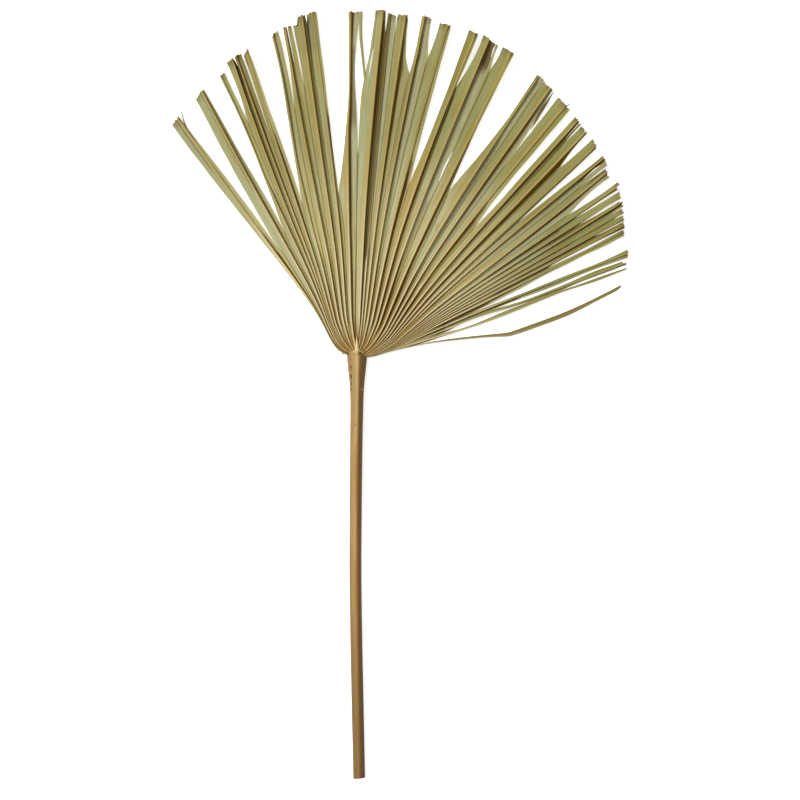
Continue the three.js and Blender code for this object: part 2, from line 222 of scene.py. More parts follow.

# Marks along a face: segment, first and last column, the radii between which they run, and how dark they
# are, or how pale where the number is below zero
# Some of these are real stains and tears, others painted shade on curled edges, turned faces and valleys
STAINS_AND_SHADE = [
    (0, 5, 5, 305, 388, 0.9), (0, 13, 17, 350, 388, 0.8), (1, 6, 6, 250, 400, 0.6),
    (4, 14, 17, 310, 422, 0.5), (5, 2, 3, 396, 424, 0.8), (7, 2, 6, 385, 438, 0.6),
    (8, 0, 17, 395, 446, 0.3), (9, 0, 17, 395, 450, 0.35), (9, 12, 17, 255, 310, 0.6),
    (10, 10, 17, 295, 400, 0.55), (11, 2, 2, 395, 452, 0.5), (12, 0, 9, 125, 446, 0.85),
    (13, 11, 15, 370, 447, 0.7), (15, 7, 12, 290, 445, 0.5), (17, 11, 16, 405, 448, 0.9),
    (17, 16, 17, 140, 225, 0.4), (19, 3, 5, 192, 200, 0.5), (21, 3, 5, 112, 126, -0.9),
    (21, 13, 17, 150, 236, 0.5), (25, 4, 6, 380, 412, 0.8), (26, 0, 4, 372, 405, 0.8),
    (27, 14, 17, 190, 300, 0.7), (28, 0, 3, 190, 310, 0.7), (29, 0, 4, 280, 385, 0.7),
    (31, 13, 17, 230, 390, 0.7), (32, 0, 3, 220, 380, 0.6), (32, 10, 17, 195, 280, 0.9),
    (33, 0, 3, 190, 275, 0.8), (33, 12, 17, 120, 185, 0.8), (34, 0, 6, 80, 125, 0.7),
    (34, 14, 17, 180, 225, 0.9), (35, 0, 8, 70, 120, 0.7), (36, 0, 4, 300, 368, 0.6),
    (36, 0, 17, 0, 42, 0.5), (37, 0, 17, 0, 44, 0.7), (37, 0, 17, 100, 356, 0.5),
]
STAIN_AND_SHADE_START_FADE = 12
STAIN_AND_SHADE_END_FADE = 4

# Free edges that bend sideways on their way: segment, side, radius, length and degrees
BENDS = [
    (10, 1, 365, 45, 0.55), (10, 1, 452, 28, -0.4), (11, -1, 335, 40, 0.75),
    (20, 1, 365, 45, -0.7), (33, -1, 325, 45, -0.35), (34, -1, 265, 80, -0.45),
    (35, -1, 240, 60, -0.7), (35, 1, 150, 42, 1.3), (35, 1, 255, 45, -0.35),
    (36, -1, 155, 42, -1), (36, -1, 350, 40, -0.25), (36, 1, 125, 50, 0.8),
    (36, 1, 260, 90, 1.5),
]

# Tips trimmed askew: how much shorter some segments are at their left and right corners
ASKEW = {5: (5.5, 0), 6: (5, 0), 12: (0, 2.5), 17: (0, 3.5), 24: (0, 2.5)}

# Steps in a trimmed tip: segment, first and last column, and depth
STEPS = [(8, 0, 3, 9), (3, 14, 17, 3), (27, 9, 17, 4), (29, 0, 6, 3.5), (35, 0, 7, 5)]

# Torn strips and fibres: the segment and side they hang from, their course as bearings and radii, their
# width at the start, middle and end, and how dark they are
STRIPS = [
    (11, -1, [(88.3, 356), (88.7, 378), (89.15, 403), (89.35, 425), (89.3, 447)], (3, 4, 4.6), 0),
    (20, 1, [(52.45, 370), (52.75, 384), (53, 394), (53.15, 410), (53.3, 427)], (0.8, 4, 1), 0.95),
    (0, 1, [(126.9, 364), (126.5, 377), (125.7, 391)], (1.7, 1.5, 1.3), 1),
    (21, 1, [(50.1, 419), (49.95, 424), (49.7, 429)], (1.4, 1.3, 1.2), 0.9),
    (13, 1, [(80.9, 396), (81.3, 420), (81.45, 443)], (1.5, 1.4, 1.2), 0.3),
    (0, -1, [(167, 11), (169, 15), (171, 19.5)], (2.6, 2, 1.3), 0.95),
]

# The first segment of each piece that the blade is divided into
PIECE_STARTS = (0, 10, 19, 28)

# The stalk
STALK_LENGTH = 548
STALK_HALF_WIDTH = 7.6
STALK_HEIGHT = 10
HEAD_RADIUS = 12.9
HEAD_HEIGHT = 11.5
HEAD_CLEARANCE = 1.5
HEAD_FALL = 0.012
HEAD_FLARE = 29
HEAD_FLARE_POWER = 1.7
NECK_GAIN = 0.16
NECK_LENGTH = 110
RAISED = (-260, -30)
END_SLANT = 0.1
SLANT_LENGTH = 40
TONGUE_STATIONS = (2, 5, 8, 11, 14, 17, 20, 22.5, TONGUE_LENGTH)
TONGUE_STEPS = 12
TONGUE_HALF_WIDTH = 4.5
TONGUE_UNDERSIDE = 10.5
TONGUE_RISE = 1.8
TONGUE_TIP_HEIGHT = 11.6

# The camera looks straight down and frames a square of this width round its aim
VIEW_WIDTH = 1040
VIEW_AIM = (55.9, -57.2)
LENS = 100
SENSOR = 36

# Even daylight from all round and a soft sun from the upper left, above a pale floor
SKY_STRENGTH = 0.46
SUN_STRENGTH = 2.7
SUN_ANGLE = 14
SUN_DIRECTION = (-1, 0.27, 1.6)
FLOOR_SIZE = 12
FLOOR_DROP = 0.0006
FLOOR_GLOW = 0.62
FLOOR_COLOUR = (0.9, 0.9, 0.9, 1)
WHITE = (1, 1, 1, 1)


def lerp(start, end, share):
    return start + (end - start) * share


def clamp(value, low=0.0, high=1.0):
    return max(low, min(high, value))


def portion(value, low, high):
    """How far a value is on its way from low to high, from 0 to 1."""
    return clamp((value - low) / (high - low))


def smoothstep(value, low, high):
    share = portion(value, low, high)
    return share * share * (3 - 2 * share)


def chance(index):
    """A repeatable number from 0 to 1."""
    wave = math.sin(index * 12.9898 + 4.1414) * 43758.5453
    return wave - math.floor(wave)


def ripple(place, seed):
    """A smooth wave from -1 to 1 along a length, different for each seed."""
    first = math.sin(place * 0.021 * (1 + chance(seed)) + 6.3 * chance(seed + 0.3))
    second = math.sin(place * 0.057 * (1 + chance(seed + 0.7)) + 6.3 * chance(seed + 0.9))
    return 0.65 * first + 0.35 * second


# Plan of the blade

def trim_reach(bearing):
    angle = math.radians(bearing)
    along = TRIM_CENTRE[0] * math.cos(angle) + TRIM_CENTRE[1] * math.sin(angle)
    return along + math.sqrt(along ** 2 - TRIM_CENTRE[0] ** 2 - TRIM_CENTRE[1] ** 2 + TRIM_RADIUS ** 2)


def tip_reach(index, bearing):
    segment = SEGMENTS[index]
    middle = (segment[TIP_LEFT] + segment[TIP_RIGHT]) / 2
    return segment[REACH] + trim_reach(bearing) - trim_reach(middle)


def kink(index, radius):
    """How far the stray leaflet, the last segment, turns aside."""
    if index < LAST:
        return 0
    rise = portion(radius, SEGMENTS[index - 1][SPLIT], KINK_RADIUS)
    fall = portion(radius, SEGMENTS[index][REACH], KINK_RADIUS)
    return KINK_BEARING * min(rise, fall)


def fan_point(index, bearing, radius):
    lean = bearing - FAN_AXIS
    flare = 1 + FLARE_GAIN / (1 + (radius / FLARE_RADIUS) ** 3)
    limit = LEFT_LIMIT if lean > 0 else RIGHT_LIMIT + RIGHT_DROOP / (1 + (radius / DROOP_RADIUS) ** 3)
    spread = limit * (1 - (1 - abs(lean) / limit) ** flare)
    share = clamp(abs(lean) / (LEFT_OUTER if lean > 0 else RIGHT_OUTER))
    sweep = SWEEP / (1 + (radius / SWEEP_RADIUS) ** SWEEP_POWER) * smoothstep(radius, *SWEEP_START)
    spread += sweep * 4 * share * (1 - share)
    angle = math.radians(FAN_AXIS + math.copysign(spread, lean) + kink(index, radius))
    return Vector((radius * math.cos(angle), radius * math.sin(angle)))


def valley_bearing(index, radius):
    segment = SEGMENTS[index]
    middle = (segment[RIB] + SEGMENTS[index + 1][RIB]) / 2
    if segment[SPLIT] <= INNER_RADIUS:
        return segment[VALLEY]
    return lerp(middle, segment[VALLEY], portion(radius, INNER_RADIUS, segment[SPLIT]))


def free_from(index, side):
    """The radius where the left (-1) or the right (1) edge of a segment comes free."""
    if side < 0:
        return SEGMENTS[index - 1][SPLIT] if index > 0 else INNER_RADIUS
    return SEGMENTS[index][SPLIT] if index < LAST else SEGMENTS[index - 1][SPLIT]


def opened(index, side, out):
    """How far an edge has moved from its valley to its corner of the tip."""
    if side < 0 and index == 0:
        return out ** 2
    if side > 0 and index == LAST:
        return out
    return 1 - (1 - out) ** OPENINGS.get(index - 1 if side < 0 else index, USUAL_OPENING)


def edge_bearing(index, side, radius):
    segment = SEGMENTS[index]
    free = free_from(index, side)
    start = segment[RIB] - side * OUTER_MARGIN / (1 if side < 0 else 2)
    if side < 0 and index > 0:
        start = valley_bearing(index - 1, radius)
    if side > 0 and index < LAST:
        start = valley_bearing(index, radius)
    tip = segment[TIP_LEFT if side < 0 else TIP_RIGHT]
    out = portion(radius, free, segment[REACH])
    bend = smoothstep(out, 0, 0.1) * sum(
        degrees * math.exp(-((radius - place) / length) ** 2)
        for bent, bent_side, place, length, degrees in BENDS
        if bent == index and bent_side == side
    )
    return lerp(start, tip, opened(index, side, out)) + bend


def rib_bearing(index, radius):
    segment = SEGMENTS[index]
    tip = lerp(segment[TIP_LEFT], segment[TIP_RIGHT], segment[RIB_SHARE])
    out = portion(radius, INNER_RADIUS, segment[REACH])
    left = edge_bearing(index, -1, radius)
    right = edge_bearing(index, 1, radius)
    share = (lerp(segment[RIB], tip, out) - left) / (right - left)
    return lerp(left, right, clamp(share, *RIB_LIMITS))


# Form of the blade

def row_share(row):
    return (row / ROWS) ** ROW_SPACING_POWER


def valley_height(share):
    return EDGE_HEIGHT + (ROOT_TOP - EDGE_HEIGHT) * (1 - share) ** ROOT_FALL


def lift_of(index, side, radius):
    """How far a free edge rises from the surface, each segment by its own amount."""
    most = 0 if index in RESTING else lerp(LOWEST_LIFT, HIGHEST_LIFT, chance(index))
    return most * portion(radius, free_from(index, side), SEGMENTS[index][REACH]) ** LIFT_POWER


def split_row(index):
    share = portion(SEGMENTS[index][SPLIT], ROOT_RADIUS, SEGMENTS[index][REACH])
    return min(ROWS - 1, round(ROWS * share ** (1 / ROW_SPACING_POWER)))


SPLIT_ROWS = [split_row(index) for index in range(len(SEGMENTS))]


def is_free(index, side, row):
    """Whether the edge of a segment is past its split in the cells that start at a row."""
    neighbour = index + side
    if neighbour < 0 or neighbour > LAST:
        return True
    return row >= SPLIT_ROWS[min(index, neighbour)]


def low_right(index):
    """How far a segment belongs to the narrow ones low on the right side."""
    return smoothstep(index, 24, 30)


def crumple(index):
    """How uneven a segment is: those low on the right side are crumpled most."""
    return 1 + CRUMPLE * low_right(index)


class Edge:
    """One point of a segment's left or right border at one row."""

    def __init__(self, index, side, row):
        segment = SEGMENTS[index]
        neighbour = index + side
        inside = 0 <= neighbour <= LAST
        valley = min(index, neighbour)
        shared = inside and row <= SPLIT_ROWS[valley]
        if shared:
            reach = (segment[REACH] + SEGMENTS[neighbour][REACH]) / 2
        else:
            reach = tip_reach(index, segment[TIP_LEFT if side < 0 else TIP_RIGHT])
        at_split = inside and row == SPLIT_ROWS[valley]
        radius = SEGMENTS[valley][SPLIT] if at_split else lerp(ROOT_RADIUS, reach, row_share(row))
        if shared:
            bearing = valley_bearing(valley, radius)
        else:
            free = free_from(index, side)
            wander = smoothstep(radius, free, free + WANDER_START)
            bearing = edge_bearing(index, side, radius)
            bearing += EDGE_WANDER * crumple(index) * wander * ripple(radius, index * 3 + side)
        self.plan = fan_point(index, bearing, radius)
        self.height = valley_height(row_share(row)) + (0 if shared else lift_of(index, side, radius))
        self.free = not shared
        self.key = ("valley", valley, row) if shared else ("edge", index, side, row)


def face_share(side, step, knee):
    """How far from its edge to the crest a point of a face lies: right faces bend at a knee."""
    if side < 0:
        return step / FACE_STEPS
    if step <= FLAT_STEPS:
        return knee * step / FLAT_STEPS
    return lerp(knee, 1, (step - FLAT_STEPS) / (FACE_STEPS - FLAT_STEPS))


def face_height(index, side, share, knee, bottom, crest, width):
    """The height of a pleat's face: left faces rise evenly, right faces stay low up to their knee."""
    rise = share ** LEFT_RISE
    if side > 0:
        level = KNEE_LEVEL * knee
        rise = level * share / knee if share < knee else lerp(level, 1, portion(share, knee, 1))
    crease = 0.35 + 0.3 * chance(index * 2 + side + 40)
    depth = CREASE_DEPTH * width * (chance(index * 5 + side + 11) - 0.5)
    return bottom + (crest - bottom) * rise + depth * max(0, 1 - abs(share - crease) / CREASE_WIDTH)


def stain_and_shade_at(index, column, radius):
    """How dark, or below zero how pale, the marks on a segment are at one point."""
    return sum(
        strength * smoothstep(radius, start - STAIN_AND_SHADE_START_FADE, start + STAIN_AND_SHADE_START_FADE)
        * smoothstep(radius, end + STAIN_AND_SHADE_END_FADE, end - STAIN_AND_SHADE_END_FADE)
        for segment, first, last, start, end, strength in STAINS_AND_SHADE
        if segment == index and first <= column <= last
    )


def quiet_at(index, radius):
    """How far a pleat has merged with its neighbour, as narrow pleats do towards the pole."""
    narrow = smoothstep(radius, *QUIET_RADII) if index in QUIET else 0
    return max(narrow, smoothstep(radius, *MERGED_RADII) * (index % 2))


def dark_share(index, radius):
    """How far from the rib a right face is dark: nearly the same for all segments towards the pole."""
    own = LOOKS[index][1]
    inner = max(own, lerp(INNER_DARK, LOW_DARK, smoothstep(index, 10, 20)))
    until = DARK_UNTIL.get(index, 2 * TRIM_RADIUS)
    outer = own * smoothstep(radius, until + DARK_FADE, until - DARK_FADE)
    fade_end = lerp(160, 300, low_right(index))
    return lerp(inner, outer, smoothstep(radius, 80, fade_end)) * (1 - quiet_at(index, radius))


def zone_at(index, radius):
    """Shares of the pale cream of the inner blade, the brown of its root and the tint of its outer part."""
    left, low = smoothstep(index, 10, 5), smoothstep(index, 11, 19)
    cream = smoothstep(radius, 170, 60) * lerp(0.5, 0.05, max(left, low))
    brown = max(
        0.95 * smoothstep(radius, 56, 15),
        0.5 * left * smoothstep(radius, 125, 35),
        0.75 * low * smoothstep(index, 35, 32) * smoothstep(radius, 165, 62),
    )
    stray = smoothstep(index, 33, 35)
    tint_start = lerp(lerp(140, 185, smoothstep(index, 11, 16)), 30, stray)
    tint = smoothstep(radius, tint_start, lerp(330, 200, stray))
    return (cream, brown, tint * lerp(0.68, 1, smoothstep(index, 10, 17)))


def slit_width(radius, start, end, reach):
    """The width of a slit's column, as a share of its usual width: the slit tapers to its closed ends."""
    if radius < start or radius > end:
        return lerp(SLIT_END, 1, clamp(max(start - radius, radius - end) / SLIT_LEAD))
    share = portion(radius, start, end)
    if end > reach - OPEN_SLIT:
        return lerp(SLIT_END, 1, share)
    return lerp(SLIT_END, 1, 4 * share * (1 - share))


def tip_cut(index, column):
    """How much of a segment's tip is missing in one column."""
    left, right = ASKEW.get(index, (0, 0))
    steps = sum(
        depth for stepped, first, last, depth in STEPS
        if stepped == index and first <= column <= last
    )
    return CHIP_DEPTH * chance(index * 31 + column * 1.7) ** 2 + lerp(left, right, column / COLUMNS) + steps


def section(index, row):
    """The points of one segment's upper face at one row, from its left border to its right."""
    segment = SEGMENTS[index]
    left = Edge(index, -1, row)
    right = Edge(index, 1, row)
    middle = lerp(segment[TIP_LEFT], segment[TIP_RIGHT], segment[RIB_SHARE])
    radius = lerp(ROOT_RADIUS, tip_reach(index, middle), row_share(row))
    rib = fan_point(index, rib_bearing(index, radius), radius)
    across = right.plan - left.plan
    width = across.length
    across.normalize()
    dark = dark_share(index, radius)
    knee = 1 - clamp(dark, *KNEE_LIMITS)
    steep = smoothstep(dark, *FLAT_FACE)
    depth = PLEAT_DEPTH * math.tanh(PLEAT_RATIO * width / PLEAT_DEPTH)
    quiet = quiet_at(index, radius)
    depth *= lerp(0.5, 1, steep) * (1 - 0.6 * quiet)
    crest = (left.height + right.height) / 2 + depth
    half = min(RIB_WIDTH, 0.3 * width) / 2
    collar = ROOT_THICKNESS * math.exp(-(radius - ROOT_RADIUS) / COLLAR_RADIUS)
    outward = rib.normalized()
    points = []

    def add(plan, height, slope, fold, name):
        lean = (plan - rib).dot(across)
        wave = WAVE_HEIGHT * crumple(index) * smoothstep(radius, *WAVE_START) * (1 - fold ** 4)
        wave *= ripple(radius, index * 7) + WAVE_TWIST * lean * ripple(radius, index * 7 + 3)
        chip = tip_cut(index, len(points)) if row == ROWS else 0
        points.append({
            "plan": plan - outward * chip,
            "height": height + wave,
            "thickness": max(BLADE_THICKNESS * min(math.hypot(1, slope), THICKEST), collar),
            "fold": (fold, lean / half, 0.0),
            "strand": (lean, radius, index * STRAND_SHIFT),
            "key": name,
        })

    for edge, side in ((left, -1), (right, 1)):
        corner = rib + across * (side * half)
        run = (edge.plan - corner).length
        fall = STEEPEST_FALL * (1 if side < 0 else lerp(0.25, 1, steep))
        low = max(edge.height, crest - fall * run) if edge.free else edge.height
        slope = (crest - low) / max(run, 0.05)
        steps = range(FACE_STEPS + 1) if side < 0 else range(FACE_STEPS, -1, -1)
        for step in steps:
            share = face_share(side, step, knee)
            plan = edge.plan.lerp(corner, share)
            height = face_height(index, side, share, knee, low, crest, run)
            fold = side * lerp(1, RIB_FOLD, share)
            add(plan, height, slope, fold, edge.key if step == 0 else ("face", index, row, len(points)))
        if side < 0:
            for step in range(1, RIB_STEPS):
                share = 2 * step / RIB_STEPS - 1
                bulge = RIB_BULGE * min(1, half) * math.sqrt(1 - share ** 2)
                plan = rib + across * (share * half)
                add(plan, crest + bulge, slope, RIB_FOLD * share, ("rib", index, row, step))
    for torn, column, start, end in SLITS:
        if torn == index:
            near, far = points[column], points[column + 1]
            gap = slit_width(radius, start, end, segment[REACH])
            near["plan"] = far["plan"].lerp(near["plan"], gap)
            near["height"] = lerp(far["height"], near["height"], gap)
    ochre, _, grey, outer_rib = LOOKS[index]
    rib_strength = lerp(INNER_RIB, outer_rib, smoothstep(radius, *RIB_FADE)) * (1 - quiet)
    for column, point in enumerate(points):
        fold, rib_place, _ = point["fold"]
        side = -1 if fold < 0 else 1
        rim = 1.0 if is_free(index, side, row) else quiet_at(index if side > 0 else index - 1, radius)
        point["fold"] = (fold, rib_place, rim)
        point["tone"] = (ochre, lerp(RIB_FOLD, 1, dark), grey)
        point["zone"] = zone_at(index, radius)
        point["mark"] = (segment[REACH] - radius, stain_and_shade_at(index, column, radius), rib_strength)
    return points


def is_torn(index, row, column):
    """Whether a cell lies in one of the slits."""
    radius = lerp(ROOT_RADIUS, SEGMENTS[index][REACH], row_share(row + 0.5))
    return any(
        index == segment and column == place and start < radius < end
        for segment, place, start, end in SLITS
    )


def is_there(indices, index, row, column):
    """Whether a piece goes on in a cell of a segment or in the one just past its first or last column."""
    if row < 0 or row >= ROWS:
        return False
    if 0 <= column < COLUMNS:
        return not is_torn(index, row, column)
    side = -1 if column < 0 else 1
    beside = COLUMNS - 1 if side < 0 else 0
    joined = index + side in indices and not is_free(index, side, row)
    return joined and not is_torn(index + side, row, beside)


ATTRIBUTES = ("fold", "strand", "tone", "zone", "mark")


def note(values, *vectors):
    """Adds one surface value of each kind."""
    for kind, vector in zip(ATTRIBUTES, vectors):
        values[kind].append(vector)


def blade_piece(name, indices, material):
    """A closed thin shell of some segments, joined along their valleys."""
    points = []
    values = {kind: [] for kind in ATTRIBUTES}
    known = {}
    faces, creases = [], []

    def place(point):
        if point["key"] not in known:
            known[point["key"]] = len(points)
            for drop in (0, point["thickness"]):
                spot = Vector((point["plan"].x, point["plan"].y, point["height"] - drop))
                points.append(POLE + spot * MM)
        return point

    def add(*corners):
        """A face through points of the upper (0) and the lower (1) side."""
        faces.append(tuple(known[point["key"]] + below for point, below in corners))
        for kind in ATTRIBUTES:
            values[kind] += [point[kind] for point, below in corners]

    for index in indices:
        grid = [[place(point) for point in section(index, row)] for row in range(ROWS + 1)]
        for row in range(ROWS):
            for column in range(COLUMNS):
                if is_torn(index, row, column):
                    continue
                a, b = grid[row][column], grid[row][column + 1]
                d, c = grid[row + 1][column], grid[row + 1][column + 1]
                add((a, 0), (b, 0), (c, 0), (d, 0))
                add((a, 1), (d, 1), (c, 1), (b, 1))
                if column in CREASES:
                    start, end = known[a["key"]], known[d["key"]]
                    creases += [(start, end), (start + 1, end + 1)]
                sides = (
                    (a, b, row - 1, column), (b, c, row, column + 1),
                    (c, d, row + 1, column), (d, a, row, column - 1),
                )
                for start, end, beside_row, beside_column in sides:
                    if not is_there(indices, index, beside_row, beside_column):
                        add((start, 0), (start, 1), (end, 1), (end, 0))
    return mesh_piece(name, points, faces, [material], values, "leaf_blade", 60, "CORNER", creases)


def add_object(name, data):
    thing = bpy.data.objects.new(name, data)
    bpy.context.scene.collection.objects.link(thing)
    return thing


def mesh_piece(name, points, faces, materials, values, node, sharp=38, domain="POINT", creases=()):
    """A piece that stands for a node, with smooth faces, sharp folds and its own surface values."""
    mesh = bpy.data.meshes.new(name)
    mesh.from_pydata([tuple(point) for point in points], [], faces)
    for material in materials:
        mesh.materials.append(material)
    for kind, vectors in values.items():
        layer = mesh.attributes.new(kind, "FLOAT_VECTOR", domain)
        layer.data.foreach_set("vector", [number for vector in vectors for number in vector])
    mesh.validate()
    mesh.shade_smooth()
    mesh.set_sharp_from_angle(angle=math.radians(sharp))
    folded = {frozenset(ends) for ends in creases}
    for edge in mesh.edges:
        if frozenset(edge.vertices) in folded:
            edge.use_edge_sharp = True
    piece = add_object(name, mesh)
    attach(piece, "root")
    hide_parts(node)
    return piece


def shell_faces(rows, columns):
    """Faces of a closed thin sheet whose points come in pairs, upper and lower, row by row."""
    def at(row, column):
        return 2 * (row * (columns + 1) + column)

    faces = []
    for row in range(rows):
        for column in range(columns):
            a, b = at(row, column), at(row, column + 1)
            d, c = at(row + 1, column), at(row + 1, column + 1)
            faces.append((a, b, c, d))
            faces.append((a + 1, d + 1, c + 1, b + 1))
    rim = [at(0, column) for column in range(columns)]
    rim += [at(row, columns) for row in range(rows)]
    rim += [at(rows, column) for column in range(columns, 0, -1)]
    rim += [at(row, 0) for row in range(rows, 0, -1)]
    for start, end in zip(rim, rim[1:] + rim[:1]):
        faces.append((start, start + 1, end + 1, end))
    return faces


def strips_piece(material):
    """Narrow strips and fibres that have torn loose."""
    points, faces = [], []
    values = {kind: [] for kind in ATTRIBUTES}
    sheet = shell_faces(STRIP_ROWS, STRIP_STEPS)
    for index, side, course, widths, dark in STRIPS:
        faces += [tuple(corner + len(points) for corner in face) for face in sheet]
        knots = [(radius, bearing) for bearing, radius in course]
        for row in range(STRIP_ROWS + 1):
            out = row / STRIP_ROWS
            radius = lerp(knots[0][0], knots[-1][0], out)
            angle = math.radians(smooth_through(knots, radius))
            width = smooth_through(list(zip((0, 0.5, 1), widths)), out)
            level = valley_height(portion(radius, ROOT_RADIUS, SEGMENTS[index][REACH]))
            level += lift_of(index, side, radius) + STRIP_LEVEL
            for step in range(-2, 3):
                across = width * step / STRIP_STEPS
                arch = STRIP_ARCH * width * (1 - step * step / 4)
                x = radius * math.cos(angle) + across * math.sin(angle)
                y = radius * math.sin(angle) - across * math.cos(angle)
                for drop in (0, BLADE_THICKNESS):
                    points.append(POLE + Vector((x, y, level + arch - drop)) * MM)
                    fold = (0.15 * step - 0.5, 9.0, 1.0)
                    strand = (across, radius, index * 3.1 + side)
                    note(values, fold, strand, (0.1, 0.0, 0.0), zone_at(index, radius), (30.0, dark, 0.0))
    return mesh_piece("torn_strips", points, faces, [material], values, "leaf_blade")


def head_half_width(ahead):
    return math.sqrt(max(HEAD_RADIUS ** 2 - ahead ** 2, 0.04))


def head_top(plan):
    """The height of the upper side of the stalk's head at a point of the plan."""
    ahead = max(0.0, plan.y)
    up = smooth_through(HEAD_ROUNDING, min(1.0, abs(plan.x) / head_half_width(ahead)))
    return HEAD_CLEARANCE + up * HEAD_HEIGHT * (1 - HEAD_FALL * ahead)


def root_end(plan):
    """How near the pole the pleats run over the head in the direction of a point."""
    across, ahead = plan.normalized()
    if across < 0:
        return clamp(4.4 / max(ahead, 0.05), *LEFT_ENDS)
    return clamp(8.4 / (across + max(ahead, 0)), *RIGHT_ENDS)


def roots_piece(material):
    """The roots of the pleats, which climb from the blade on to the head of the stalk."""
    points, radii = [], []
    values = {kind: [] for kind in ATTRIBUTES}
    columns = [(index, step / ROOT_STEPS) for index in range(len(SEGMENTS)) for step in range(ROOT_STEPS)]
    columns.append((LAST, 1.0))
    for row in range(ROOT_ROWS + 1):
        out = row / ROOT_ROWS
        for index, share in columns:
            left = edge_bearing(index, -1, ROOT_RADIUS)
            right = edge_bearing(index, 1, ROOT_RADIUS)
            middle = rib_bearing(index, ROOT_RADIUS)
            bearing = lerp(left, middle, 2 * share) if share < 0.5 else lerp(middle, right, 2 * share - 1)
            end = root_end(fan_point(index, bearing, HEAD_RADIUS)) + 0.9 * chance(index + 0.5)
            radius = lerp(end, ROOT_SHEET_RADIUS, out)
            plan = fan_point(index, bearing, radius)
            width = (fan_point(index, left, radius) - fan_point(index, right, radius)).length
            blade = valley_height(portion(radius, ROOT_RADIUS, SEGMENTS[index][REACH]))
            head = head_top(plan * min(1, (HEAD_RADIUS - 0.4) / radius))
            base = lerp(blade, max(blade, head), smoothstep(radius, *CLIMB))
            sunk = smoothstep(radius, end + SINK_LENGTH, end)
            fold = PLEAT_RATIO * width * math.sin(math.pi * share) * (1 - 0.5 * sunk)
            fold *= 1 - 0.7 * quiet_at(index, radius)
            covered = smoothstep(radius, ROOT_SHEET_RADIUS, ROOT_SHEET_RADIUS - COVER_LENGTH)
            height = base + fold + lerp(*ROOT_COVER, covered) - SINK_DEPTH * sunk
            radii.append(radius)
            for drop in (0, ROOT_SHEET_THICKNESS):
                points.append(POLE + Vector((plan.x, plan.y, height - drop)) * MM)
    faces = shell_faces(ROOT_ROWS, len(columns) - 1)
    for face in faces:
        places = [corner // 2 % len(columns) for corner in face]
        index = min(min(places) // ROOT_STEPS, LAST)
        for corner, place in zip(face, places):
            share = place / ROOT_STEPS - index
            radius = radii[corner // 2]
            rim = quiet_at(index if share > 0.5 else index - 1, radius)
            fold = (2 * share - 1, 4.5 * (share - 0.5), rim)
            strand = (1.5 * share, radius, index * STRAND_SHIFT)
            tone = (0.6, lerp(RIB_FOLD, 1, dark_share(index, radius)), 0.0)
            rib_strength = INNER_RIB * (1 - quiet_at(index, radius))
            mark = (300.0, stain_and_shade_at(index, 0, radius), rib_strength)
            note(values, fold, strand, tone, zone_at(index, radius), mark)
    return mesh_piece("pleat_roots", points, faces, [material], values, "leaf_blade", 60, "CORNER")


# Form of the stalk

HEAD_ROUNDING = [(0, 1), (0.4, 0.93), (0.74, 0.76), (0.95, 0.48), (1, 0.2)]
HALF_SECTION = [(0, 0), (0.8, 0)] + HEAD_ROUNDING[::-1]
STALK_LINE = [(0, 0.1), (60, 0), (110, -0.8), (265, -2), (375, -0.7), (STALK_LENGTH, 2.8)]
RING_POINTS = 48


def smooth_through(knots, place):
    """A smooth curve through points given as (place, value)."""
    for number in range(len(knots) - 1):
        if place <= knots[number + 1][0] or number == len(knots) - 2:
            break
    (x1, y1), (x2, y2) = knots[number], knots[number + 1]
    x0, y0 = knots[max(0, number - 1)]
    x3, y3 = knots[min(len(knots) - 1, number + 2)]
    share = portion(place, x1, x2)
    slope1 = (y2 - y0) / max(x2 - x0, 1e-6) * (x2 - x1)
    slope2 = (y3 - y1) / max(x3 - x1, 1e-6) * (x2 - x1)
    cube, square = share ** 3, share ** 2
    return (
        (2 * cube - 3 * square + 1) * y1 + (cube - 2 * square + share) * slope1
        + (3 * square - 2 * cube) * y2 + (cube - square) * slope2
    )


def ring_shape():
    """Shares of the stalk's half width and height, once round from the middle of its flat side."""
    lengths = [0.0]
    for start, end in zip(HALF_SECTION, HALF_SECTION[1:]):
        lengths.append(lengths[-1] + math.dist(start, end))
    half = []
    for step in range(RING_POINTS // 2 + 1):
        place = lengths[-1] * step / (RING_POINTS // 2)
        across, up = (smooth_through(list(zip(lengths, axis)), place) for axis in zip(*HALF_SECTION))
        half.append((across, max(0.0, up)))
    return half + [(-across, up) for across, up in half[-2:0:-1]]


def stalk_ring(along, shape):
    below = max(0.0, -along)
    flare = math.exp(-((below / HEAD_FLARE) ** HEAD_FLARE_POWER))
    neck = 1 + NECK_GAIN * math.exp(-below / NECK_LENGTH)
    half_width = lerp(STALK_HALF_WIDTH * neck, HEAD_RADIUS, flare)
    if along > 0:
        half_width = head_half_width(along)
    raised = smoothstep(along, *RAISED)
    height = lerp(STALK_HEIGHT, HEAD_HEIGHT, raised) * (1 - HEAD_FALL * max(0.0, along))
    middle = smooth_through(STALK_LINE, below)
    slant = END_SLANT * smoothstep(below, STALK_LENGTH - SLANT_LENGTH, STALK_LENGTH)
    ring = []
    for number, (across, up) in enumerate(shape):
        strand = 0.09 * ripple(along * 0.6, number * 1.31) + 0.07 * math.sin(number * 2.4)
        swell = 1 + strand / half_width * smoothstep(below, 0, 30)
        x = middle + across * half_width * swell
        z = HEAD_CLEARANCE * raised + up * height * (1 + 0.5 * strand / height)
        ring.append((Vector((x, along + slant * across * half_width, z)), across))
    return ring


